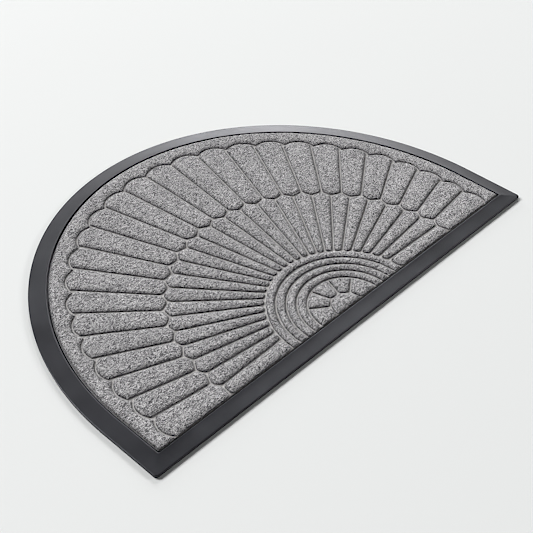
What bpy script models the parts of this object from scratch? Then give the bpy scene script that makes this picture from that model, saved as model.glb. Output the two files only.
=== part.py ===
"""Half-round doormat lying flat, in the two pieces it is made of.

A moulded rubber base has a thin rim, a border that rises gently to a lip, and a recess.
A needled felt face lies in the recess. A fan is pressed into it: scalloped petals, rays,
half-round ribs and a small wheel stand up between grooves, and so does the field around them.

Metres, +Z up. The origin is on the floor under the middle of the mat. Shapes are drawn with
y = 0 on the straight front edge, and the objects are made half the mat's depth further back.
"""

from math import atan2, cos, pi, radians, sin, sqrt

import bmesh
import bpy
from mathutils import Vector
from mathutils.geometry import delaunay_2d_cdt

MM = 0.001

# Outline: a straight front edge, two short straight sides and a half ellipse between them
WIDTH = 600 * MM
DEPTH = 400 * MM
SIDE = 77.5 * MM
RISE = DEPTH - SIDE
ARC_STEPS = 26  # on each half of the arc
OUTER_CORNER = 4.0 * MM
INNER_CORNER = 1.8 * MM
CORNER_STEPS = 3

# Rubber base
BORDER_WIDTH = 19.0 * MM
RECESS_HEIGHT = 2.0 * MM
BORDER_PROFILE = (
    # inset from the outer edge, height
    (0.0 * MM, 0.0 * MM),
    (0.0 * MM, 3.2 * MM),
    (0.8 * MM, 4.1 * MM),
    (16.7 * MM, 4.75 * MM),
    (17.4 * MM, 5.3 * MM),
    (18.4 * MM, 5.4 * MM),
    (BORDER_WIDTH, 4.9 * MM),
    (BORDER_WIDTH, RECESS_HEIGHT),
)

# Felt face
GAP = 0.3 * MM
FELT_BOTTOM = RECESS_HEIGHT + GAP
FELT_GROOVE = 4.3 * MM
FELT_TOP = 6.8 * MM
EDGE_GAP = 1.8 * MM  # open strip between the border's lip and the felt's cut edge
FELT_INSET = BORDER_WIDTH + EDGE_GAP
EDGE_STEP = 0.8 * MM  # raised parts stand back this far from the felt's cut edge
GROOVE_WIDTH = 3.0 * MM  # at the bottom
WALL_LEAN = 0.7 * MM  # how far a raised part's wall leans in from foot to top

# Fan pattern, drawn by the centre lines of its grooves
FAN_CENTRE = Vector((0.0, 23.0 * MM))
PAD_EDGE = FELT_INSET + EDGE_STEP
BASE_LINE = PAD_EDGE - GROOVE_WIDTH / 2
HALF_PETALS = 13
PETAL_CROWDING = radians(1.0)  # petals lean a little towards the middle of the arc
TIP_INSET_SIDE = 38.4 * MM  # from the mat's outer edge to the petals' tips
TIP_INSET_BACK = 41.0 * MM
TIP_ROUNDNESS = 0.62  # radius of a tip over the width of its petal
TIP_STEPS = 6
RAY_FOCUS = Vector((0.0, 41.0 * MM))
RAY_PITCH = radians(7.3)
DIVIDE_SIDE = 181.6 * MM  # where rays end and petals begin, along the front edge
DIVIDE_BACK = 206.6 * MM  # and straight behind the centre
DIVIDE_POWER = 1.25
ZIGZAG = 3.2 * MM
PAD_ROUNDING = 6.0 * MM
SHARP_TURN = radians(25)  # a bend over this is a corner
RIB_RADII = (90.4 * MM, 78.9 * MM, 67.5 * MM, 56.1 * MM, 44.7 * MM)
RIB_STEPS = 24
WEDGES = 5
HUB_RADIUS = 19.8 * MM
HUB_STEPS = 8

RUBBER_COLOUR = (0.040, 0.040, 0.046)
RUBBER_ROUGHNESS = 0.55
FELT_COLOUR = (0.34, 0.33, 0.34)
FELT_ROUGHNESS = 0.95


def direction(angle):
    return Vector((cos(angle), sin(angle)))


def mirrored(points):
    """The points reflected to the left half, still running the same way round."""
    return [Vector((-p.x, p.y)) for p in reversed(points)]


def side_and_arc(inset):
    """The right half of the mat's edge moved inwards, from the front to the middle of the arc."""
    edge = [Vector((WIDTH / 2 - inset, 0.0))]
    for step in range(ARC_STEPS + 1):
        along = direction(pi / 2 * step / ARC_STEPS)
        point = Vector((WIDTH / 2 * along.x, SIDE + RISE * along.y))
        outward = Vector((RISE * along.x, WIDTH / 2 * along.y)).normalized()
        edge.append(point - inset * outward)
    return edge


def outline(inset):
    """The mat's outline moved inwards, counter-clockwise from its front right corner."""
    corner = max(OUTER_CORNER + (INNER_CORNER - OUTER_CORNER) * inset / BORDER_WIDTH, INNER_CORNER)
    middle = Vector((WIDTH / 2 - inset - corner, inset + corner))
    turns = [pi / 2 * (step / CORNER_STEPS - 1) for step in range(CORNER_STEPS + 1)]
    half = [middle + corner * direction(turn) for turn in turns] + side_and_arc(inset)[1:]
    return half + mirrored(half[:-1])


def circle_hit(line, centre, radius):
    """Where a line, given as a point and a direction, leaves a circle."""
    origin, along = line
    middle = (centre - origin).dot(along)
    off = (centre - origin - middle * along).length
    return origin + (middle + sqrt(radius * radius - off * off)) * along


def reaches(line, centre, radius):
    """Whether the line crosses the circle."""
    origin, along = line
    away = centre - origin
    return (away - away.dot(along) * along).length < radius


def front_line(height):
    """The line along the front edge at that height, to the right."""
    return Vector((0.0, height)), Vector((1.0, 0.0))


def petal_line(index):
    """The groove before a petal of the right half; the first is the front edge."""
    if index == 0:
        return front_line(BASE_LINE)
    angle = pi / 2 * index / HALF_PETALS
    return FAN_CENTRE, direction(angle + PETAL_CROWDING * sin(2 * angle))


def ray_line(index):
    """The groove before a ray of the right half; the first is the front edge."""
    if index == 0:
        return front_line(BASE_LINE)
    return RAY_FOCUS, direction(pi / 2 - RAY_PITCH * (HALF_PETALS - index + 0.5))


def wedge_line(index):
    """The groove before a wedge of the wheel; the first and last are the front edge."""
    if index in (0, WEDGES):
        middle, along = front_line(BASE_LINE)
        return middle, along if index == 0 else -along
    return FAN_CENTRE, direction(pi * index / WEDGES)


def divide_point(line, shift):
    """Where a groove meets the zigzag between rays and petals."""
    radius = DIVIDE_SIDE
    for _ in range(4):
        point = circle_hit(line, FAN_CENTRE, radius)
        rise = max((point - FAN_CENTRE).normalized().y, 0.0)
        radius = DIVIDE_SIDE + (DIVIDE_BACK - DIVIDE_SIDE) * rise**DIVIDE_POWER + shift
    return point


def high_point(index):
    """The zigzag's outer corner, at a petal's groove."""
    return divide_point(petal_line(index), ZIGZAG if index else 0.0)


def low_point(index):
    """The zigzag's inner corner, at a ray's groove."""
    return divide_point(ray_line(index), -ZIGZAG if index else 0.0)


def heading(point):
    """Angle of a point seen from the fan's centre."""
    return atan2(point.y - FAN_CENTRE.y, point.x - FAN_CENTRE.x)


def tip_reach(angle):
    """Distance from the fan's centre to the petal tips, which follow the mat's edge."""
    edge = side_and_arc(TIP_INSET_SIDE + (TIP_INSET_BACK - TIP_INSET_SIDE) * sin(angle))
    for first, second in zip(edge, edge[1:]):
        low, high = heading(first) - angle, heading(second) - angle
        if low <= 0.0 < high:
            return (first.lerp(second, low / (low - high)) - FAN_CENTRE).length
    raise ValueError("no edge in that direction")


def tip_circle(index):
    """Centre and radius of the round tip of a petal of the right half."""
    side = tip_reach(0.0)
    low, high = (heading(circle_hit(petal_line(i), FAN_CENTRE, side)) for i in (index, index + 1))
    reach = tip_reach((low + high) / 2)
    radius = TIP_ROUNDNESS * 2 * reach * sin((high - low) / 2)
    return FAN_CENTRE + (reach - radius) * direction((low + high) / 2), radius


def arc(centre, start, end, steps):
    """Points on a circle about centre, counter-clockwise from start to end."""
    first, last = start - centre, end - centre
    begin = atan2(first.y, first.x)
    turn = (atan2(last.y, last.x) - begin) % (2 * pi)
    return [centre + first.length * direction(begin + turn * i / steps) for i in range(steps + 1)]


def petal_cell(index):
    centre, radius = tip_circle(index)
    start, end = (circle_hit(petal_line(i), centre, radius) for i in (index, index + 1))
    tip = arc(centre, start, end, TIP_STEPS)
    return [high_point(index), *tip, high_point(index + 1), low_point(index + 1)]


def ray_cell(index):
    near, far = (circle_hit(ray_line(i), FAN_CENTRE, RIB_RADII[0]) for i in (index, index + 1))
    crest = [high_point(index)] if index else []
    return [near, low_point(index), *crest, low_point(index + 1), far]


def middle_ray_cell():
    near = circle_hit(ray_line(HALF_PETALS), FAN_CENTRE, RIB_RADII[0])
    side = [near, low_point(HALF_PETALS)]
    return [*side, high_point(HALF_PETALS), *mirrored(side)]


def wedge_cell(index):
    lines = wedge_line(index), wedge_line(index + 1)
    start, end = (circle_hit(line, FAN_CENTRE, RIB_RADII[-1]) for line in lines)
    first, last = (circle_hit(line, FAN_CENTRE, HUB_RADIUS) for line in lines)
    return [*arc(FAN_CENTRE, start, end, TIP_STEPS), last, first]


def hub_cell():
    start, end = (circle_hit(wedge_line(i), FAN_CENTRE, HUB_RADIUS) for i in (0, WEDGES))
    return arc(FAN_CENTRE, start, end, HUB_STEPS)


def corners(points):
    """Each point of a loop with the directions of the sides before and after it."""
    for before, here, after in zip(points[-1:] + points[:-1], points, points[1:] + points[:1]):
        yield here, here - before, after - here


def inset(points, distance):
    """A convex loop with every side moved inwards."""
    moved = []
    for here, before, after in corners(points):
        first = before.orthogonal().normalized()
        bisector = (first + after.orthogonal().normalized()).normalized()
        moved.append(here + bisector * distance / bisector.dot(first))
    return moved


def rounded(points, radius):
    """A convex loop with each sharp corner cut back to two points of a round."""
    result = []
    for here, before, after in corners(points):
        turn = before.angle(after)
        if turn < SHARP_TURN:
            result.append(here)
            continue
        cut = min(radius * turn / 2, before.length / 2.2, after.length / 2.2)
        result += [here - cut * before.normalized(), here + cut * after.normalized()]
    return result


def pad(cell):
    """Foot and top loops of a raised part between the grooves round its cell."""
    foot = rounded(inset(cell, GROOVE_WIDTH / 2), PAD_ROUNDING)
    return foot, inset(foot, WALL_LEAN)


def half_ring(outer, inner, margin):
    """A half ring between two groove circles, moved inwards on every side."""
    line = front_line(PAD_EDGE + margin)
    away = GROOVE_WIDTH / 2 + margin
    far = circle_hit(line, FAN_CENTRE, outer - away)
    near = circle_hit(line, FAN_CENTRE, inner + away)
    outside = arc(FAN_CENTRE, far, mirrored([far])[0], RIB_STEPS)
    return outside + arc(FAN_CENTRE, near, mirrored([near])[0], RIB_STEPS)[::-1]


def field(margin):
    """The band between the petals and the border, cut off straight along the front edge."""
    away = GROOVE_WIDTH / 2 + margin
    circles = [tip_circle(i) for i in range(HALF_PETALS)]
    start = circle_hit(front_line(PAD_EDGE + margin), circles[0][0], circles[0][1] + away)
    scallops = [start]
    for index in range(HALF_PETALS):
        low = heading(start) if index == 0 else heading(FAN_CENTRE + petal_line(index)[1])
        high = heading(FAN_CENTRE + petal_line(index + 1)[1])
        for step in range(1, TIP_STEPS + 1):
            line = (FAN_CENTRE, direction(low + (high - low) * step / TIP_STEPS))
            near = [(c, r + away) for c, r in circles[max(index - 1, 0) : index + 2]]
            hits = [circle_hit(line, c, r) for c, r in near if reaches(line, c, r)]
            scallops.append(max(hits, key=lambda hit: (hit - FAN_CENTRE).length))
    inside = scallops + mirrored(scallops[:-1])
    return outline(PAD_EDGE + margin) + inside[::-1]


def raised_parts():
    """Foot and top loops of every raised part of the felt."""
    cells = [petal_cell(i) for i in range(HALF_PETALS)]
    cells += [ray_cell(i) for i in range(HALF_PETALS)]
    cells += [mirrored(cell) for cell in cells]
    cells += [middle_ray_cell(), hub_cell()]
    cells += [wedge_cell(i) for i in range(WEDGES)]
    parts = [pad(cell) for cell in cells]
    for outer, inner in zip(RIB_RADII, RIB_RADII[1:]):
        parts.append((half_ring(outer, inner, 0.0), half_ring(outer, inner, WALL_LEAN)))
    parts.append((field(0.0), field(WALL_LEAN)))
    return parts


def ring(bm, loop, height):
    return [bm.verts.new((p.x, p.y - DEPTH / 2, height)) for p in loop]


def join(bm, lower, upper):
    """A wall between two rings that run counter-clockwise."""
    pairs = list(zip(lower, upper))
    for (a, b), (c, d) in zip(pairs, pairs[1:] + pairs[:1]):
        bm.faces.new((a, c, d, b))


def fill(bm, loops, rings):
    """Triangles in the first loop and outside the others, or in all if they lie side by side."""
    points = [point for loop in loops for point in loop]
    verts = [vert for one in rings for vert in one]
    ends = [sum(len(loop) for loop in loops[: i + 1]) for i in range(len(loops))]
    faces = [list(range(end - len(loop), end)) for loop, end in zip(loops, ends)]
    found = delaunay_2d_cdt(points, [], faces, 1, 1e-8, True)
    if len(found[0]) != len(points):
        raise ValueError("two loops touch")
    for triangle, inside in zip(found[2], found[5]):
        if len(inside) == 1:
            bm.faces.new([verts[i] for i in triangle])


def add_object(bm, name, colour, roughness):
    mesh = bpy.data.meshes.new(name)
    bmesh.ops.recalc_face_normals(bm, faces=bm.faces)
    for face in bm.faces:
        face.smooth = True
    for edge in bm.edges:
        edge.smooth = edge.calc_face_angle() < SHARP_TURN
    bm.to_mesh(mesh)
    bm.free()
    material = bpy.data.materials.new(name)
    material.use_nodes = True
    shader = material.node_tree.nodes["Principled BSDF"]
    shader.inputs["Base Color"].default_value = (*colour, 1.0)
    shader.inputs["Roughness"].default_value = roughness
    mesh.materials.append(material)
    bpy.context.scene.collection.objects.link(bpy.data.objects.new(name, mesh))


def rubber_base():
    bm = bmesh.new()
    rings = [ring(bm, outline(distance), height) for distance, height in BORDER_PROFILE]
    bm.faces.new(rings[0][::-1])
    for lower, upper in zip(rings, rings[1:]):
        join(bm, lower, upper)
    bm.faces.new(rings[-1])
    add_object(bm, "rubber_base", RUBBER_COLOUR, RUBBER_ROUGHNESS)


def carpet_face():
    bm = bmesh.new()
    edge = outline(FELT_INSET)
    lower, upper = ring(bm, edge, FELT_BOTTOM), ring(bm, edge, FELT_GROOVE)
    bm.faces.new(lower[::-1])
    join(bm, lower, upper)
    parts = raised_parts()
    feet = [foot for foot, _ in parts]
    tops = [top for _, top in parts]
    foot_rings = [ring(bm, foot, FELT_GROOVE) for foot in feet]
    top_rings = [ring(bm, top, FELT_TOP) for top in tops]
    fill(bm, [edge, *feet], [upper, *foot_rings])
    for low, high in zip(foot_rings, top_rings):
        join(bm, low, high)
    fill(bm, tops, top_rings)
    add_object(bm, "carpet_face", FELT_COLOUR, FELT_ROUGHNESS)


for old in list(bpy.data.objects):
    bpy.data.objects.remove(old)
rubber_base()
carpet_face()
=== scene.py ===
from collections import namedtuple
from itertools import repeat
from math import atan2, cos, pi, radians, sin, sqrt

import bmesh
import bpy
import numpy as np
from mathutils import Euler, Matrix, Vector, noise
from mathutils.bvhtree import BVHTree
from mathutils.geometry import delaunay_2d_cdt
from mathutils.kdtree import KDTree


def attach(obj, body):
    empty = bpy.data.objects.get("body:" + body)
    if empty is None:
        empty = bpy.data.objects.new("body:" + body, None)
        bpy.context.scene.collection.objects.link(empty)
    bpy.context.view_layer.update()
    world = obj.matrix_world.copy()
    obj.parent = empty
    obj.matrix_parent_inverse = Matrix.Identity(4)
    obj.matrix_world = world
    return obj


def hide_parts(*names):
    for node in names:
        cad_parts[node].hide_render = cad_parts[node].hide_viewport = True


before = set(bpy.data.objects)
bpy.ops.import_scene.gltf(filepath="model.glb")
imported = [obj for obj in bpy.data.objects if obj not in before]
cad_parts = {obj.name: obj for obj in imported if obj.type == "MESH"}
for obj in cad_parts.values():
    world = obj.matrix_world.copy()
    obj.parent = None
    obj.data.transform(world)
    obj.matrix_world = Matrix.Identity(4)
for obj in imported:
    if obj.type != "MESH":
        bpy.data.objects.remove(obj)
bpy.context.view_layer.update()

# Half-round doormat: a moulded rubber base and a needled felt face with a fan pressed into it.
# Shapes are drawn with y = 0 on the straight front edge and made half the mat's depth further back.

Loop = namedtuple("Loop", "points heights")

MM = 0.001

# Outline: a straight front edge, two short straight sides and a half ellipse between them
WIDTH = 600 * MM
DEPTH = 400 * MM
SIDE = 77.5 * MM
RISE = DEPTH - SIDE
ARC_STEPS = 208  # on each half of the arc
OUTER_CORNER = 4.0 * MM
INNER_CORNER = 1.8 * MM
CORNER_STEPS = 6
BORDER_WIDTH = 19.0 * MM
RECESS_HEIGHT = 2.0 * MM
EDGE_DRIFT = 1.5 * MM  # the recess lies this far to the right in its border

# Felt face
GAP = 0.3 * MM
FELT_BOTTOM = RECESS_HEIGHT + GAP
FELT_FLOOR = 4.1 * MM  # height of the pressed grooves
FELT_GROOVE = 4.3 * MM  # the felt grows uneven from here up to its top
FELT_TOP = 6.8 * MM
UNEVEN_FROM = FELT_GROOVE + 0.5 * MM
TUFTS_FROM = FELT_GROOVE + 0.7 * MM
FELT_INSET = 20.8 * MM
EDGE_STEP = 0.8 * MM
GROOVE_WIDTH = 3.0 * MM

# Fan pattern, drawn by the centre lines of its grooves
FAN_CENTRE = Vector((0.0, 23.0 * MM))
PAD_EDGE = FELT_INSET + EDGE_STEP
BASE_LINE = PAD_EDGE - GROOVE_WIDTH / 2
HALF_PETALS = 13
PETAL_CROWDING = radians(1.0)
TIP_INSET_SIDE = 38.4 * MM
TIP_INSET_BACK = 41.0 * MM
TIP_ROUNDNESS = 0.62
TIP_STEPS = 20
RAY_FOCUS = Vector((0.0, 41.0 * MM))
RAY_PITCH = radians(7.3)
DIVIDE_SIDE = 181.6 * MM
DIVIDE_BACK = 206.6 * MM
DIVIDE_POWER = 1.25
DIVIDE_ROUNDS = 4
ZIGZAG = 3.2 * MM
PAD_ROUNDING = 6.0 * MM
ROUNDING_STEPS = 3
SHARP_TURN = radians(25)
SIDE_OVER_CUT = 2.2  # a side is at least this many times as long as the cut at its end
RIB_RADII = (90.4 * MM, 78.9 * MM, 67.5 * MM, 56.1 * MM, 44.7 * MM)
RIB_STEPS = 120
WEDGES = 5
HUB_RADIUS = 19.8 * MM
HUB_STEPS = 14
WEDGE_STEPS = 7

# The felt's surface: rings up each pad's wall, then a grid of points over its top
LOOP_STEP = 1.3 * MM
EDGE_FOOT = 4.6 * MM
EDGE_SLOPE = 0.8 * MM
WALL_RINGS = (
    # distance inwards from the pad's outline, height
    (-0.6 * MM, FELT_FLOOR),
    (-0.5 * MM, 4.8 * MM),
    (-0.35 * MM, 5.4 * MM),
    (0.05 * MM, 5.75 * MM),
)
EDGE_RINGS = (
    # the same along the felt's cut edge
    (-0.5 * MM, EDGE_FOOT),
    (-0.3 * MM, 5.0 * MM),
    (0.05 * MM, 5.5 * MM),
    (EDGE_SLOPE, 6.0 * MM),
)
RAGGED = 0.32 * MM
RAGGED_ROOM = 0.25  # the part of the shorter side beside it that a point may move
FOOT_STEP = 0.6 * MM
GRID_PITCH = 2.1 * MM
GRID_CLEARANCE = 1.6 * MM
GRID_ROWS = 0.866  # distance between the rows of a hexagonal grid, for a pitch of one
GRID_JITTER = 0.3
INSIDE_ONLY = 1  # the kind of triangulation that fills the loops alone
MERGE_DISTANCE = 1e-8
CROWN = 7.35 * MM
SHOULDER = 6.5 * MM  # distance from a wall's foot where the top becomes level
ROUGHNESS = 0.10 * MM
LUMPS = (
    # length along the front edge, length across it, layer of the noise
    (4.2 * MM, 2.6 * MM, 0.0),
    (19.0 * MM, 15.0 * MM, 9.0),
)
LUMP_HEIGHT = 0.30 * MM

# Layout for baking: faces that look down have a strip from 0.89 to 0.98, past the rest at 0.20 to 0.80
STRIP_FOOT = 0.86
STRIP_SHARE = 0.15

# Tufts: short closed grains of fibre on the surface, most of them nearly parallel to the front edge
TUFT_PITCH = 1.25 * MM
TUFT_LENGTH = (1.8 * MM, 3.0 * MM)
TUFT_WIDTH = (0.30 * MM, 0.48 * MM)  # to each side
TUFT_RISE = (0.15 * MM, 0.45 * MM)
TUFT_LIFT = (-0.10 * MM, 0.06 * MM)  # of each end
TUFT_SWAY = 0.2 * MM  # of each end, sideways
TUFT_SINK = 0.1 * MM  # of its sides
TUFT_MIDDLE = 0.2  # how far its widest place is off its middle, in lengths
TUFT_SPREAD = radians(18)
TUFT_PIECES = 4
TUFT_FACES = ((0, 3, 4), (0, 4, 2), (0, 2, 3), (1, 4, 3), (1, 2, 4), (1, 3, 2))
RAY_START = 50 * MM  # height above the floor
RIM_PITCH = 1.0 * MM
RIM_REACH = (-0.8 * MM, 0.5 * MM)
RIM_DROP = (0.0, 1.2 * MM)
RIM_LEAN = 1.3  # how far the grains on a wall's edge face outwards
RIM_SPREAD = radians(60)
CLUMP_SHARE = 0.9  # of a tuft's tone that comes from its clump
TONE_SPREAD = 0.45
RIM_TONE_SPREAD = 0.55
# how much darker the grains on the walls' edges are: painted shade along the grooves
RIM_PAINTED_SHADE = 0.12
CLUMP_PITCH = 1.3 * MM
CLUMP_STRETCH = 2.2

# Seeds of the random draws
WALL_SEED = 3
TUFT_GRID_SEED = 5
TOP_GRID_SEED = 7
TOP_SEED = 11
TUFT_SEED = 23
CLUMP_GRID_SEED = 31
CLUMP_SEED = 37
SEED_SHIFT = (1.0, 1.7, 0.3)  # how far a seed moves a texture along x, y and z

# Colours
# dark fibre; also the colour of the painted shade on the felt's walls, shoulders and cut edge
DARK_FIBRE_AND_SHADE = (0.030, 0.028, 0.033, 1.0)
FELT_PRESSED = (0.47, 0.457, 0.45, 1.0)
TUFT_TONES = ((0.58, 0.57, 0.583, 1.0), (1.0, 0.99, 0.995, 1.0))
# the felt under and between the tufts is darker than the tufts: painted shade in the gaps between them
FACE_TONES_WITH_GAP_SHADE = ((0.28, 0.275, 0.282, 1.0), (0.60, 0.59, 0.595, 1.0))
RUBBER_DEEP = (0.0075, 0.008, 0.010, 1.0)
RUBBER_WORN = (0.016, 0.017, 0.020, 1.0)
FLOOR_COLOUR = (0.685, 0.695, 0.69, 1.0)

# The felt's tone by height: a paler pressed floor, and painted shade on the walls, on the pads' shoulders
# and on the cut edge. Where each change is absent, and where it is complete
PRESSED_FROM = (3.9 * MM, 4.05 * MM)
PRESSED_TO = (4.4 * MM, 4.2 * MM)
WALL_SHADE_FROM = (4.2 * MM, 4.5 * MM)
WALL_SHADE_TO = (6.0 * MM, 5.6 * MM)
SHOULDER_SHADE_TO = (7.0 * MM, 5.6 * MM)
CUT_EDGE_SHADE = (4.05 * MM, 3.9 * MM)

# Floor, light and camera
FLOOR_REACH = 4.0  # half of its side
FLOOR_DROP = 0.1 * MM
LIGHT_DISTANCE = 12.0
LIGHTS = (
    # name, azimuth and elevation in degrees, size in metres, power in watts
    ("key", 120, 38, (3.0, 3.0), 870.0),
    ("high_key", 108, 52, (4.5, 3.0), 840.0),
    ("back", 43, 31, (3.0, 4.0), 570.0),
    ("low_back", 68, 12, (3.0, 3.0), 350.0),
    ("low_right", 26, 15, (3.0, 3.0), 170.0),
    ("fill", 318, 27, (4.0, 3.0), 400.0),
)
WORLD_STRENGTH = 0.02
CAMERA_PLACE = (-0.67742, -0.67314, 0.78627)
CAMERA_TURN = (48.836, -1.266, -46.535)  # degrees about x, y and z
CAMERA_LENS = 71.32  # millimetres on a sensor 36 wide
SHARPENING = 0.15


def direction(angle):
    return Vector((cos(angle), sin(angle)))


def mirrored(points):
    """The points reflected to the left half, still running the same way round."""
    return [Vector((-p.x, p.y)) for p in reversed(points)]


def side_and_arc(distance):
    """The right half of the mat's edge moved inwards, from the front to the middle of the arc."""
    edge = [Vector((WIDTH / 2 - distance, 0.0))]
    for step in range(ARC_STEPS + 1):
        along = direction(pi / 2 * step / ARC_STEPS)
        point = Vector((WIDTH / 2 * along.x, SIDE + RISE * along.y))
        outward = Vector((RISE * along.x, WIDTH / 2 * along.y)).normalized()
        edge.append(point - distance * outward)
    return edge


def outline(distance):
    """The mat's outline moved inwards, counter-clockwise from its front right corner."""
    corner = max(OUTER_CORNER + (INNER_CORNER - OUTER_CORNER) * distance / BORDER_WIDTH, INNER_CORNER)
    middle = Vector((WIDTH / 2 - distance - corner, distance + corner))
    turns = [pi / 2 * (step / CORNER_STEPS - 1) for step in range(CORNER_STEPS + 1)]
    half = [middle + corner * direction(turn) for turn in turns] + side_and_arc(distance)[1:]
    drift = Vector((EDGE_DRIFT * min(distance / BORDER_WIDTH, 1.0), 0.0))
    return [p + drift for p in half + mirrored(half[:-1])]


def circle_hit(line, centre, radius):
    """Where a line, given as a point and a direction, leaves a circle."""
    origin, along = line
    middle = (centre - origin).dot(along)
    off = (centre - origin - middle * along).length
    return origin + (middle + sqrt(radius * radius - off * off)) * along


def reaches(line, centre, radius):
    """Whether the line crosses the circle."""
    origin, along = line
    away = centre - origin
    return (away - away.dot(along) * along).length < radius


def front_line(height):
    """The line along the front edge at that height, to the right."""
    return Vector((0.0, height)), Vector((1.0, 0.0))


def petal_line(index):
    """The groove before a petal of the right half; the first is the front edge."""
    if index == 0:
        return front_line(BASE_LINE)
    angle = pi / 2 * index / HALF_PETALS
    return FAN_CENTRE, direction(angle + PETAL_CROWDING * sin(2 * angle))


def ray_line(index):
    """The groove before a ray of the right half; the first is the front edge."""
    if index == 0:
        return front_line(BASE_LINE)
    return RAY_FOCUS, direction(pi / 2 - RAY_PITCH * (HALF_PETALS - index + 0.5))


def wedge_line(index):
    """The groove before a wedge of the wheel; the first and last are the front edge."""
    if index in (0, WEDGES):
        middle, along = front_line(BASE_LINE)
        return middle, along if index == 0 else -along
    return FAN_CENTRE, direction(pi * index / WEDGES)


def divide_point(line, shift):
    """Where a groove meets the zigzag between rays and petals."""
    radius = DIVIDE_SIDE
    for _ in range(DIVIDE_ROUNDS):
        point = circle_hit(line, FAN_CENTRE, radius)
        rise = max((point - FAN_CENTRE).normalized().y, 0.0)
        radius = DIVIDE_SIDE + (DIVIDE_BACK - DIVIDE_SIDE) * rise**DIVIDE_POWER + shift
    return point


def high_point(index):
    """The zigzag's outer corner, at a petal's groove."""
    return divide_point(petal_line(index), ZIGZAG if index else 0.0)


def low_point(index):
    """The zigzag's inner corner, at a ray's groove."""
    return divide_point(ray_line(index), -ZIGZAG if index else 0.0)


def heading(point):
    """Angle of a point seen from the fan's centre."""
    return atan2(point.y - FAN_CENTRE.y, point.x - FAN_CENTRE.x)


def tip_reach(angle):
    """Distance from the fan's centre to the petal tips, which follow the mat's edge."""
    edge = side_and_arc(TIP_INSET_SIDE + (TIP_INSET_BACK - TIP_INSET_SIDE) * sin(angle))
    for first, second in zip(edge, edge[1:]):
        low, high = heading(first) - angle, heading(second) - angle
        if low <= 0.0 < high:
            return (first.lerp(second, low / (low - high)) - FAN_CENTRE).length
    raise ValueError("no edge in that direction")


def tip_circle(index):
    """Centre and radius of the round tip of a petal of the right half."""
    side = tip_reach(0.0)
    low, high = (heading(circle_hit(petal_line(i), FAN_CENTRE, side)) for i in (index, index + 1))
    reach = tip_reach((low + high) / 2)
    radius = TIP_ROUNDNESS * 2 * reach * sin((high - low) / 2)
    return FAN_CENTRE + (reach - radius) * direction((low + high) / 2), radius


def arc(centre, start, end, steps):
    """Points on a circle about centre, counter-clockwise from start to end."""
    first, last = start - centre, end - centre
    begin = atan2(first.y, first.x)
    turn = (atan2(last.y, last.x) - begin) % (2 * pi)
    return [centre + first.length * direction(begin + turn * i / steps) for i in range(steps + 1)]


def petal_cell(index):
    centre, radius = tip_circle(index)
    start, end = (circle_hit(petal_line(i), centre, radius) for i in (index, index + 1))
    tip = arc(centre, start, end, TIP_STEPS)
    return [high_point(index), *tip, high_point(index + 1), low_point(index + 1)]


def ray_cell(index):
    near, far = (circle_hit(ray_line(i), FAN_CENTRE, RIB_RADII[0]) for i in (index, index + 1))
    crest = [high_point(index)] if index else []
    return [near, low_point(index), *crest, low_point(index + 1), far]


def middle_ray_cell():
    near = circle_hit(ray_line(HALF_PETALS), FAN_CENTRE, RIB_RADII[0])
    side = [near, low_point(HALF_PETALS)]
    return [*side, high_point(HALF_PETALS), *mirrored(side)]


def wedge_cell(index):
    lines = wedge_line(index), wedge_line(index + 1)
    start, end = (circle_hit(line, FAN_CENTRE, RIB_RADII[-1]) for line in lines)
    first, last = (circle_hit(line, FAN_CENTRE, HUB_RADIUS) for line in lines)
    return [*arc(FAN_CENTRE, start, end, WEDGE_STEPS), last, first]


def hub_cell():
    start, end = (circle_hit(wedge_line(i), FAN_CENTRE, HUB_RADIUS) for i in (0, WEDGES))
    return arc(FAN_CENTRE, start, end, HUB_STEPS)


def corners(points):
    """Each point of a loop with the directions of the sides before and after it."""
    for before, here, after in zip(points[-1:] + points[:-1], points, points[1:] + points[:1]):
        yield here, here - before, after - here


def inset(points, distance):
    """A loop with every side moved inwards."""
    moved = []
    for here, before, after in corners(points):
        first = before.orthogonal().normalized()
        bisector = (first + after.orthogonal().normalized()).normalized()
        moved.append(here + bisector * distance / bisector.dot(first))
    return moved


def rounded(points, radius):
    """A convex loop with each sharp corner replaced by a curve."""
    result = []
    for here, before, after in corners(points):
        turn = before.angle(after)
        if turn < SHARP_TURN:
            result.append(here)
            continue
        cut = min(radius * turn / 2, before.length / SIDE_OVER_CUT, after.length / SIDE_OVER_CUT)
        start, end = here - cut * before.normalized(), here + cut * after.normalized()
        for step in range(ROUNDING_STEPS + 1):
            part = step / ROUNDING_STEPS
            result.append(start.lerp(here, part).lerp(here.lerp(end, part), part))
    return result


def evened(points, step):
    """A loop with its long sides split into equal parts."""
    result = []
    for here, _, after in corners(points):
        parts = max(1, round(after.length / step))
        result += [here + after * (i / parts) for i in range(parts)]
    return result


def pad_rings(cell):
    """Rings from the foot of a raised part to its shoulder."""
    foot = evened(rounded(inset(cell, GROOVE_WIDTH / 2), PAD_ROUNDING), LOOP_STEP)
    return [Loop(inset(foot, distance), [height] * len(foot)) for distance, height in WALL_RINGS]


def ragged(part, chance):
    """The rings of a part with its wall moved in here and there."""
    room = np.array([min(before.length, after.length) for _, before, after in corners(part[-1].points)])
    limit = np.minimum(2 * RAGGED, RAGGED_ROOM * room)
    shifts = -abs(chance.normal(0.0, RAGGED, len(room))).clip(0.0, limit)
    moved = []
    for points, heights in part:
        pairs = zip(points, inset(points, -MM))
        shifted = [p + (out - p).normalized() * shift for (p, out), shift in zip(pairs, shifts)]
        moved.append(Loop(shifted, heights))
    return moved


def half_ring(outer, inner, margin):
    """A half ring between two groove circles, moved inwards on every side."""
    line = front_line(PAD_EDGE + margin)
    away = GROOVE_WIDTH / 2 + margin
    far = circle_hit(line, FAN_CENTRE, outer - away)
    near = circle_hit(line, FAN_CENTRE, inner + away)
    outside = arc(FAN_CENTRE, far, mirrored([far])[0], RIB_STEPS)
    return outside + arc(FAN_CENTRE, near, mirrored([near])[0], RIB_STEPS)[::-1]


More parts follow.
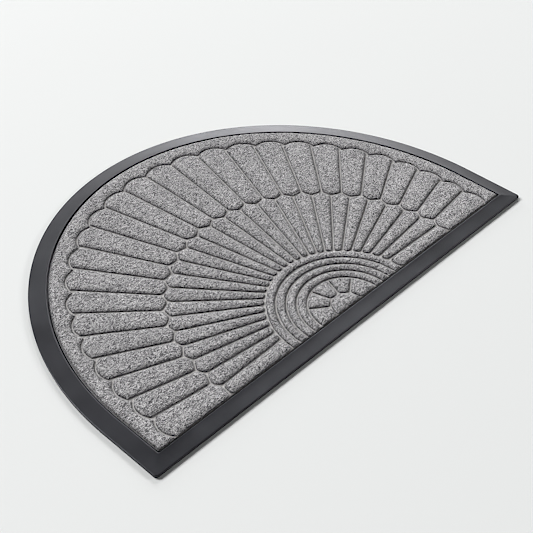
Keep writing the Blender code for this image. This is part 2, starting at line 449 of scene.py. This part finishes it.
def field(wall, edge):
    """A ring of the band between the petals and the border, cut off straight along the front edge."""
    margin, height = wall
    edge_margin, edge_height = edge
    away = GROOVE_WIDTH / 2 + margin
    circles = [tip_circle(i) for i in range(HALF_PETALS)]
    start = circle_hit(front_line(PAD_EDGE + margin), circles[0][0], circles[0][1] + away)
    scallops = [start]
    for index in range(HALF_PETALS):
        low = heading(start) if index == 0 else heading(FAN_CENTRE + petal_line(index)[1])
        high = heading(FAN_CENTRE + petal_line(index + 1)[1])
        for step in range(1, TIP_STEPS + 1):
            line = (FAN_CENTRE, direction(low + (high - low) * step / TIP_STEPS))
            near = [(c, r + away) for c, r in circles[max(index - 1, 0) : index + 2]]
            hits = [circle_hit(line, c, r) for c, r in near if reaches(line, c, r)]
            scallops.append(max(hits, key=lambda hit: (hit - FAN_CENTRE).length))
    inside = scallops + mirrored(scallops[:-1])
    outside = outline(PAD_EDGE + edge_margin)
    return Loop(outside + inside[::-1], [edge_height] * len(outside) + [height] * len(inside))


def raised_parts():
    """The rings of every raised part of the felt."""
    cells = [petal_cell(i) for i in range(HALF_PETALS)]
    cells += [ray_cell(i) for i in range(HALF_PETALS)]
    cells += [mirrored(cell) for cell in cells]
    cells += [middle_ray_cell(), hub_cell()]
    cells += [wedge_cell(i) for i in range(WEDGES)]
    parts = [pad_rings(cell) for cell in cells]
    for outer, inner in zip(RIB_RADII, RIB_RADII[1:]):
        loops = [half_ring(outer, inner, margin) for margin, _ in WALL_RINGS]
        parts.append([Loop(loop, [height] * len(loop)) for loop, (_, height) in zip(loops, WALL_RINGS)])
    parts.append([field(wall, edge) for wall, edge in zip(WALL_RINGS, EDGE_RINGS)])
    chance = np.random.default_rng(WALL_SEED)
    return [ragged(part, chance) for part in parts]


def triangulated(loops, points):
    """Triangles between the loops and through the loose points, with the loops they lie in."""
    everything = [p for loop in loops for p in loop] + points
    ends = np.cumsum([len(loop) for loop in loops])
    faces = [list(range(end - len(loop), end)) for loop, end in zip(loops, ends)]
    result = delaunay_2d_cdt(everything, [], faces, INSIDE_ONLY, MERGE_DISTANCE, True)
    verts, _, triangles, _, _, inside = result
    if len(verts) != len(everything):
        raise ValueError("two loops touch")
    return triangles, inside


def grid_points(pitch, seed):
    """A hexagonal grid over the felt, each point moved a little at random."""
    chance = np.random.default_rng(seed)
    rows, columns = np.mgrid[: int(DEPTH / (pitch * GRID_ROWS)), : int(WIDTH / pitch)]
    across = (columns + 0.5 * (rows % 2)) * pitch - WIDTH / 2
    points = np.stack([across, rows * pitch * GRID_ROWS], -1).reshape(-1, 2)
    return points + chance.uniform(-GRID_JITTER, GRID_JITTER, points.shape) * pitch


def plan_tree(points):
    """A tree of flat points, for finding the nearest one."""
    tree = KDTree(len(points))
    for index, (x, y) in enumerate(points):
        tree.insert((x, y, 0.0), index)
    tree.balance()
    return tree


def shoulder_height(distance):
    """Height of the felt's top by the distance from the nearest groove."""
    start = WALL_RINGS[-1][0] - WALL_RINGS[0][0]
    part = min(max((distance - start) / (SHOULDER - start), 0.0), 1.0)
    return CROWN - (CROWN - WALL_RINGS[-1][1]) * (1.0 - part) ** 3


def felt_lumps(x, y):
    """Slow unevenness of the needled surface, a little long along the front edge."""
    lumps = (noise.noise(Vector((x / length, y / width, layer))) for length, width, layer in LUMPS)
    return sum(lumps) * LUMP_HEIGHT


def new_mesh(name, bm):
    mesh = bpy.data.meshes.new(name)
    bm.to_mesh(mesh)
    bm.free()
    return mesh


def new_object(mesh, material):
    """An object with its mesh's name."""
    mesh.materials.append(material)
    made = bpy.data.objects.new(mesh.name, mesh)
    bpy.context.scene.collection.objects.link(made)
    return made


def new_piece(mesh, material):
    piece = new_object(mesh, material)
    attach(piece, "root")
    return piece


def smooth_outwards(bm):
    """All faces pointing out and shaded smooth."""
    bmesh.ops.recalc_face_normals(bm, faces=bm.faces)
    for face in bm.faces:
        face.smooth = True


def lay_out(mesh):
    """A layout for baking, seen from above. Faces that look down have a narrow strip of their own."""
    layer = mesh.uv_layers.new(name="OFBake")
    places = np.empty(3 * len(mesh.vertices))
    mesh.vertices.foreach_get("co", places)
    corner_verts = np.empty(len(mesh.loops), dtype=int)
    mesh.loops.foreach_get("vertex_index", corner_verts)
    normals = np.empty(3 * len(mesh.polygons))
    mesh.polygons.foreach_get("normal", normals)
    sides = np.empty(len(mesh.polygons), dtype=int)
    mesh.polygons.foreach_get("loop_total", sides)
    below = np.repeat(normals[2::3] < 0.0, sides)
    flat = places.reshape(-1, 3)[corner_verts, :2] / WIDTH + 0.5
    flat[below, 1] = STRIP_FOOT + STRIP_SHARE * flat[below, 1]
    layer.data.foreach_set("uv", flat.clip(0.0, 1.0).ravel())


def ring(bm, points, heights):
    """New vertices at the points, with y = 0 moved to the mat's middle."""
    return [bm.verts.new((p.x, p.y - DEPTH / 2, height)) for p, height in zip(points, heights)]


def join(bm, lower, upper):
    """A wall between two rings that run counter-clockwise."""
    pairs = list(zip(lower, upper))
    for (a, b), (c, d) in zip(pairs, pairs[1:] + pairs[:1]):
        bm.faces.new((a, c, d, b))


# Materials


def put(tree, kind, inputs=None, **settings):
    """A new node. Inputs are numbers, colours or other nodes' outputs."""
    node = tree.nodes.new("ShaderNode" + kind)
    for key, value in settings.items():
        setattr(node, key, value)
    for key, value in (inputs or {}).items():
        if isinstance(value, bpy.types.NodeSocket):
            tree.links.new(value, node.inputs[key])
        else:
            node.inputs[key].default_value = value
    return node


def new_material(name):
    material = bpy.data.materials.new(name)
    material.use_nodes = True
    tree = material.node_tree
    shader = tree.nodes["Principled BSDF"]
    place = put(tree, "TexCoord").outputs["Object"]
    return material, tree, shader, place


def stretched(tree, place, lengths, seed, turn=0.0):
    """The place turned about z and scaled, so that the lengths in millimetres become one unit."""
    turned = put(tree, "Mapping", {0: place, "Rotation": (0.0, 0.0, turn)}).outputs[0]
    scale = [1 / MM / length for length in lengths]
    shift = [seed * share for share in SEED_SHIFT]
    return put(tree, "Mapping", {0: turned, "Scale": scale, "Location": shift}).outputs[0]


def grain(tree, place, lengths, detail, seed, turn=0.0):
    """Noise whose spots are about as long in x, y and z as the lengths in millimetres."""
    vector = stretched(tree, place, lengths, seed, turn)
    return put(tree, "TexNoise", {"Vector": vector, "Scale": 1.0, "Detail": detail}).outputs["Fac"]


def cell_values(tree, place, lengths, seed):
    """A random value for each small cell, whose size is about the lengths in millimetres."""
    vector = stretched(tree, place, lengths, seed)
    colour = put(tree, "TexVoronoi", {"Vector": vector, "Scale": 1.0}).outputs["Color"]
    return put(tree, "SeparateColor", {0: colour}).outputs[0]


def spread(tree, value, low, high, first=0.0, last=1.0):
    """The value mapped from low..high to first..last, and held there."""
    inputs = {0: value, 1: low, 2: high, 3: first, 4: last}
    return put(tree, "MapRange", inputs).outputs[0]


def mix(tree, share, first, second):
    """A colour between two. Inputs 6 and 7 and output 2 are the node's colour sockets."""
    return put(tree, "Mix", {0: share, 6: first, 7: second}, data_type="RGBA").outputs[2]


def maths(tree, operation, first, second):
    return put(tree, "Math", {0: first, 1: second}, operation=operation).outputs[0]


def heathered(tree, place, tufts, fibres, middle, light):
    """Fibre of three tones, by the tone of each tuft, with dark gaps and slow clouds."""
    colour = mix(tree, spread(tree, tufts, 0.02, 0.42), DARK_FIBRE_AND_SHADE, middle)
    colour = mix(tree, spread(tree, tufts, 0.42, 0.85), colour, light)
    colour = mix(tree, spread(tree, fibres, 0.35, 0.65, 0.0, 0.25), colour, middle)
    gaps = grain(tree, place, (1.7, 0.55, 0.9), 1.0, 8.0, radians(-9))
    colour = mix(tree, spread(tree, gaps, 0.47, 0.32, 0.0, 0.8), colour, DARK_FIBRE_AND_SHADE)
    clouds = grain(tree, place, (70.0, 70.0, 70.0), 2.0, 2.0)
    return mix(tree, spread(tree, clouds, 0.3, 0.7, 0.0, 0.12), colour, DARK_FIBRE_AND_SHADE)


def pressed_and_shaded_by_height(tree, place, colour):
    """The colour made paler on the pressed floor, with painted shade laid on the walls, the pads'
    shoulders and the cut edge.
    """
    height = put(tree, "SeparateXYZ", {0: place}).outputs[2]
    floor = maths(tree, "MULTIPLY", spread(tree, height, *PRESSED_TO), spread(tree, height, *PRESSED_FROM))
    # painted shade: the walls and the low part of each pad's shoulder are darkened for the shade along the
    # grooves
    wall = spread(tree, height, *WALL_SHADE_TO, 0.0, 0.28)
    shoulder = spread(tree, height, *SHOULDER_SHADE_TO, 0.0, 0.36)
    wall = maths(tree, "MULTIPLY", spread(tree, height, *WALL_SHADE_FROM), maths(tree, "ADD", wall, shoulder))
    # painted shade on the felt's cut edge, in the gap beside the rubber's lip
    painted_shade = maths(tree, "MAXIMUM", wall, spread(tree, height, *CUT_EDGE_SHADE, 0.0, 0.7))
    colour = mix(tree, maths(tree, "MULTIPLY", floor, 0.75), colour, FELT_PRESSED)
    return mix(tree, painted_shade, colour, DARK_FIBRE_AND_SHADE)


def felt_material(name, loose):
    """Heathered fibre. On loose tufts each has its own tone, and elsewhere small cells do."""
    material, tree, shader, place = new_material(name)
    if loose:
        tufts = put(tree, "Attribute", None, attribute_name="tone").outputs["Fac"]
    else:
        tufts = cell_values(tree, place, (1.9, 1.15, 1.6), 3.0)
    fibres = grain(tree, place, (1.8, 0.30, 0.6), 2.0, 5.0, radians(14))
    colour = heathered(tree, place, tufts, fibres, *(TUFT_TONES if loose else FACE_TONES_WITH_GAP_SHADE))
    # the fibre's colour, with painted shade by height on the walls, shoulders and cut edge
    tree.links.new(pressed_and_shaded_by_height(tree, place, colour), shader.inputs["Base Color"])
    shader.inputs["Roughness"].default_value = 0.95
    shader.inputs["Specular IOR Level"].default_value = 0.2
    shader.inputs["Sheen Weight"].default_value = 0.5
    shader.inputs["Sheen Roughness"].default_value = 0.35
    relief = maths(tree, "ADD", tufts, maths(tree, "MULTIPLY", fibres, 0.35))
    bump = put(tree, "Bump", {"Height": relief, "Strength": 0.6, "Distance": 0.6 * MM})
    tree.links.new(bump.outputs[0], shader.inputs["Normal"])
    return material


def rubber_material():
    material, tree, shader, place = new_material("satin_rubber")
    patches = grain(tree, place, (45.0, 45.0, 45.0), 4.0, 1.0)
    colour = mix(tree, spread(tree, patches, 0.35, 0.7), RUBBER_DEEP, RUBBER_WORN)
    tree.links.new(colour, shader.inputs["Base Color"])
    fine = grain(tree, place, (0.5, 0.5, 0.5), 3.0, 4.0)
    tree.links.new(spread(tree, patches, 0.3, 0.7, 0.32, 0.37), shader.inputs["Roughness"])
    shader.inputs["Specular IOR Level"].default_value = 0.36
    shader.inputs["Specular Tint"].default_value = (0.90, 0.90, 1.0, 1.0)
    bump = put(tree, "Bump", {"Height": fine, "Strength": 0.25, "Distance": 0.2 * MM})
    tree.links.new(bump.outputs[0], shader.inputs["Normal"])
    return material


# Pieces


def add_grooves(bm, edge, upper, parts, rings):
    """The pressed floor between the felt's edge and the foot of every raised part."""
    verts = upper + [v for part in rings for v in part[0]]
    triangles, inside = triangulated([edge, *(part[0].points for part in parts)], [])
    for triangle, loops in zip(triangles, inside):
        if len(loops) == 1:
            bm.faces.new([verts[i] for i in triangle])


def loose_points(parts):
    """Points of a grid clear of every wall, and the height of the felt's top at each."""
    feet = [p for part in parts for p in evened(part[0].points, FOOT_STEP)]
    feet += evened(outline(PAD_EDGE + EDGE_SLOPE), FOOT_STEP)
    tree = plan_tree(feet)
    points, heights = [], []
    for x, y in grid_points(GRID_PITCH, TOP_GRID_SEED):
        distance = tree.find((x, y, 0.0))[2]
        if distance > GRID_CLEARANCE:
            points.append(Vector((x, y)))
            heights.append(shoulder_height(distance))
    return points, heights


def add_tops(bm, parts, rings):
    """The top of every raised part, through the loose points that lie in it."""
    points, heights = loose_points(parts)
    triangles, inside = triangulated([part[-1].points for part in parts], points)
    used = sorted({i for triangle, loops in zip(triangles, inside) if loops for i in triangle})
    verts = dict(enumerate(v for part in rings for v in part[-1]))
    edge_count = len(verts)
    for i in used:
        if i >= edge_count:
            x, y = points[i - edge_count]
            verts[i] = bm.verts.new((x, y - DEPTH / 2, heights[i - edge_count]))
    for triangle, loops in zip(triangles, inside):
        if loops:
            bm.faces.new([verts[i] for i in triangle])


def make_uneven(bm):
    """Lumps and roughness on the raised parts, growing with the height."""
    chance = np.random.default_rng(TOP_SEED)
    for vert in bm.verts:
        if vert.co.z > UNEVEN_FROM:
            share = min((vert.co.z - FELT_GROOVE) / (FELT_TOP - FELT_GROOVE), 1.0)
            vert.co.z += share * (felt_lumps(vert.co.x, vert.co.y) + chance.normal(0.0, ROUGHNESS))


def make_felt(parts, material):
    edge = outline(FELT_INSET)
    bm = bmesh.new()
    lower = ring(bm, edge, repeat(FELT_BOTTOM))
    upper = ring(bm, edge, repeat(EDGE_FOOT))
    bm.faces.new(lower[::-1])
    join(bm, lower, upper)
    rings = [[ring(bm, *loop) for loop in part] for part in parts]
    for part in rings:
        for low, high in zip(part, part[1:]):
            join(bm, low, high)
    add_grooves(bm, edge, upper, parts, rings)
    add_tops(bm, parts, rings)
    make_uneven(bm)
    smooth_outwards(bm)
    piece = new_piece(new_mesh("felt_face", bm), material)
    lay_out(piece.data)
    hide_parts("carpet_face")
    return piece


def clump_tones(places, scatter, chance):
    """A tone for each place, in part shared by the tufts of one small clump."""
    clumps = grid_points(CLUMP_PITCH, CLUMP_GRID_SEED)
    tree = plan_tree(clumps * (CLUMP_STRETCH, 1.0))
    tones = np.random.default_rng(CLUMP_SEED).uniform(0.0, 1.0, len(clumps))
    shared = np.array([tones[tree.find((x, y + DEPTH / 2, 0.0))[1]] for x, y, _ in places])
    return 0.5 + CLUMP_SHARE * (shared - 0.5) + chance.normal(0.0, scatter, len(places))


def top_places(felt):
    """Places all over the raised parts of the felt, with their normals."""
    tree = BVHTree.FromObject(felt, bpy.context.evaluated_depsgraph_get())
    centres, normals = [], []
    for x, y in grid_points(TUFT_PITCH, TUFT_GRID_SEED):
        hit, normal, _, _ = tree.ray_cast((x, y - DEPTH / 2, RAY_START), (0.0, 0.0, -1.0))
        if hit and hit.z > TUFTS_FROM:
            centres.append(hit)
            normals.append(normal)
    return np.array(centres), np.array(normals)


def rim_places(parts, chance):
    """Places along the upper edge of every wall, facing up and outwards."""
    second_row = parts[-1][-2]  # lower on the plain field's wall
    centres, normals = [], []
    for points, heights in [part[-1] for part in parts] + [second_row]:
        around = list(zip(points, inset(points, -MM), heights))
        for (here, out, height), (after, out_after, _) in zip(around, around[1:] + around[:1]):
            count = max(1, round((after - here).length / RIM_PITCH))
            for index in range(count):
                share = (index + chance.uniform()) / count
                place = here.lerp(after, share)
                facing = (out.lerp(out_after, share) - place).normalized()
                place = place + facing * chance.uniform(*RIM_REACH)
                centres.append((place.x, place.y - DEPTH / 2, height - chance.uniform(*RIM_DROP)))
                normals.append(Vector((RIM_LEAN * facing.x, RIM_LEAN * facing.y, 1.0)).normalized())
    return np.array(centres), np.array(normals)


def tuft_points(centre, normal, scatter, chance):
    """The five corners of a closed grain of fibre on each place."""
    count = len(centre)
    turn = chance.normal(0.0, scatter, count)
    along = np.stack([np.cos(turn), np.sin(turn), np.zeros(count)], 1)
    along -= normal * (along * normal).sum(1, keepdims=True)
    along /= np.linalg.norm(along, axis=1, keepdims=True)
    across = np.cross(normal, along)
    spans = (TUFT_LENGTH, TUFT_WIDTH, TUFT_RISE)
    length, width, rise = (chance.uniform(*span, (count, 1)) for span in spans)
    lift = chance.uniform(*TUFT_LIFT, (2, count, 1))
    middle = centre + along * chance.uniform(-TUFT_MIDDLE, TUFT_MIDDLE, (count, 1)) * length
    sway = chance.normal(0.0, TUFT_SWAY, (2, count, 1))
    ends = centre + np.stack([-along, along]) * length / 2 + normal * lift + across * sway
    low = middle - normal * TUFT_SINK
    return np.stack([*ends, low + across * width, low - across * width, middle + normal * rise], 1)


def new_tufts(name, points, tones, material):
    count, sides, _ = points.shape
    triangles = (np.array(TUFT_FACES) + sides * np.arange(count)[:, None, None]).reshape(-1, 3)
    mesh = bpy.data.meshes.new(name)
    mesh.from_pydata(points.reshape(-1, 3), [], triangles)
    mesh.polygons.foreach_set("use_smooth", np.ones(len(triangles), dtype=bool))
    tone = mesh.attributes.new("tone", "FLOAT", "POINT")
    tone.data.foreach_set("value", np.repeat(tones, sides))
    lay_out(mesh)
    return new_piece(mesh, material)


def make_tufts(felt, parts, material):
    """Grains of fibre on the felt's raised parts and over their edges, each with a tone of its own; those
    over the edges are darker, as painted shade.
    """
    chance = np.random.default_rng(TUFT_SEED)
    centre, normal = top_places(felt)
    points = tuft_points(centre, normal, TUFT_SPREAD, chance)
    tones = clump_tones(centre, TONE_SPREAD, chance)
    pieces = []
    for index in range(TUFT_PIECES):
        chosen = np.arange(index, len(centre), TUFT_PIECES)
        pieces.append(new_tufts(f"felt_tufts_{index + 1}", points[chosen], tones[chosen], material))
    centre, normal = rim_places(parts, chance)
    points = tuft_points(centre, normal, RIM_SPREAD, chance)
    # the edge grains are made darker as painted shade along the grooves
    tones = clump_tones(centre, RIM_TONE_SPREAD, chance) - RIM_PAINTED_SHADE
    pieces.append(new_tufts("felt_tufts_edge", points, tones, material))
    return pieces


RUBBER_PROFILE = (
    # distance inwards from the outer edge, height, in millimetres: rim, border, lip and recess
    (0.9, 0.0), (0.7, 0.1), (0.35, 0.8), (0.1, 1.8), (0.0, 2.8), (0.0, 3.5),
    (0.08, 3.85), (0.25, 4.08), (0.5, 4.17),
    (1.2, 4.22), (4.0, 4.3), (8.0, 4.45), (12.0, 4.62), (15.0, 4.8), (17.0, 4.98),
    (17.7, 5.06), (18.1, 5.08), (18.45, 5.02), (18.75, 4.85), (18.93, 4.6),
    (19.0, 4.2), (19.0, 2.0),
)
CREASE = radians(50)


def make_rubber(material):
    bm = bmesh.new()
    rings = [ring(bm, outline(distance * MM), repeat(height * MM)) for distance, height in RUBBER_PROFILE]
    bm.faces.new(rings[0][::-1])
    for lower, upper in zip(rings, rings[1:]):
        join(bm, lower, upper)
    bm.faces.new(rings[-1])
    smooth_outwards(bm)
    for edge in bm.edges:
        edge.smooth = edge.calc_face_angle() < CREASE
    piece = new_piece(new_mesh("rubber_mat", bm), material)
    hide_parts("rubber_base")
    return piece


rubber = make_rubber(rubber_material())
felt_parts = raised_parts()
felt = make_felt(felt_parts, felt_material("heather_felt", False))
tufts = make_tufts(felt, felt_parts, felt_material("heather_tufts", True))

# Surroundings


def make_floor():
    bm = bmesh.new()
    signs = ((-1, -1), (1, -1), (1, 1), (-1, 1))
    bm.faces.new([bm.verts.new((x * FLOOR_REACH, y * FLOOR_REACH, -FLOOR_DROP)) for x, y in signs])
    material, _, shader, _ = new_material("pale_floor")
    shader.inputs["Base Color"].default_value = FLOOR_COLOUR
    shader.inputs["Roughness"].default_value = 1.0
    shader.inputs["Specular IOR Level"].default_value = 0.0
    new_object(new_mesh("floor", bm), material)


def aimed(place, target):
    """A matrix at place whose -Z looks at the target."""
    turn = (Vector(place) - Vector(target)).to_track_quat("Z", "Y")
    return Matrix.Translation(place) @ turn.to_matrix().to_4x4()


def make_light(name, azimuth, elevation, size, power):
    """A soft panel in that direction from the mat, turned towards it."""
    data = bpy.data.lights.new(name, "AREA")
    data.shape = "RECTANGLE"
    data.size, data.size_y = size
    data.energy = power
    light = bpy.data.objects.new(name, data)
    level = LIGHT_DISTANCE * cos(radians(elevation))
    turn = radians(azimuth)
    place = (level * cos(turn), level * sin(turn), LIGHT_DISTANCE * sin(radians(elevation)))
    light.matrix_world = aimed(place, (0.0, 0.0, 0.0))
    bpy.context.scene.collection.objects.link(light)


def make_world():
    world = bpy.data.worlds.new("studio")
    world.use_nodes = True
    background = world.node_tree.nodes["Background"]
    background.inputs["Color"].default_value = (1.0, 1.0, 1.0, 1.0)
    background.inputs["Strength"].default_value = WORLD_STRENGTH
    bpy.context.scene.world = world


def make_camera():
    data = bpy.data.cameras.new("camera")
    data.sensor_width = 36.0
    data.lens = CAMERA_LENS
    data.clip_end = 50.0
    camera = bpy.data.objects.new("camera", data)
    turn = Euler([radians(angle) for angle in CAMERA_TURN]).to_matrix().to_4x4()
    camera.matrix_world = Matrix.Translation(CAMERA_PLACE) @ turn
    bpy.context.scene.collection.objects.link(camera)
    bpy.context.scene.camera = camera


def make_lens_crisp():
    """A little sharpening of the whole picture, as a camera gives."""
    scene = bpy.context.scene
    scene.use_nodes = True
    tree = scene.node_tree
    tree.nodes.clear()
    layers = tree.nodes.new("CompositorNodeRLayers")
    crisp = tree.nodes.new("CompositorNodeFilter")
    crisp.filter_type = "SHARPEN_DIAMOND"
    crisp.inputs["Fac"].default_value = SHARPENING
    result = tree.nodes.new("CompositorNodeComposite")
    tree.links.new(layers.outputs["Image"], crisp.inputs["Image"])
    tree.links.new(crisp.outputs["Image"], result.inputs["Image"])


make_floor()
for light in LIGHTS:
    make_light(*light)
make_world()
make_camera()
make_lens_crisp()
bpy.context.scene.view_settings.view_transform = "Standard"
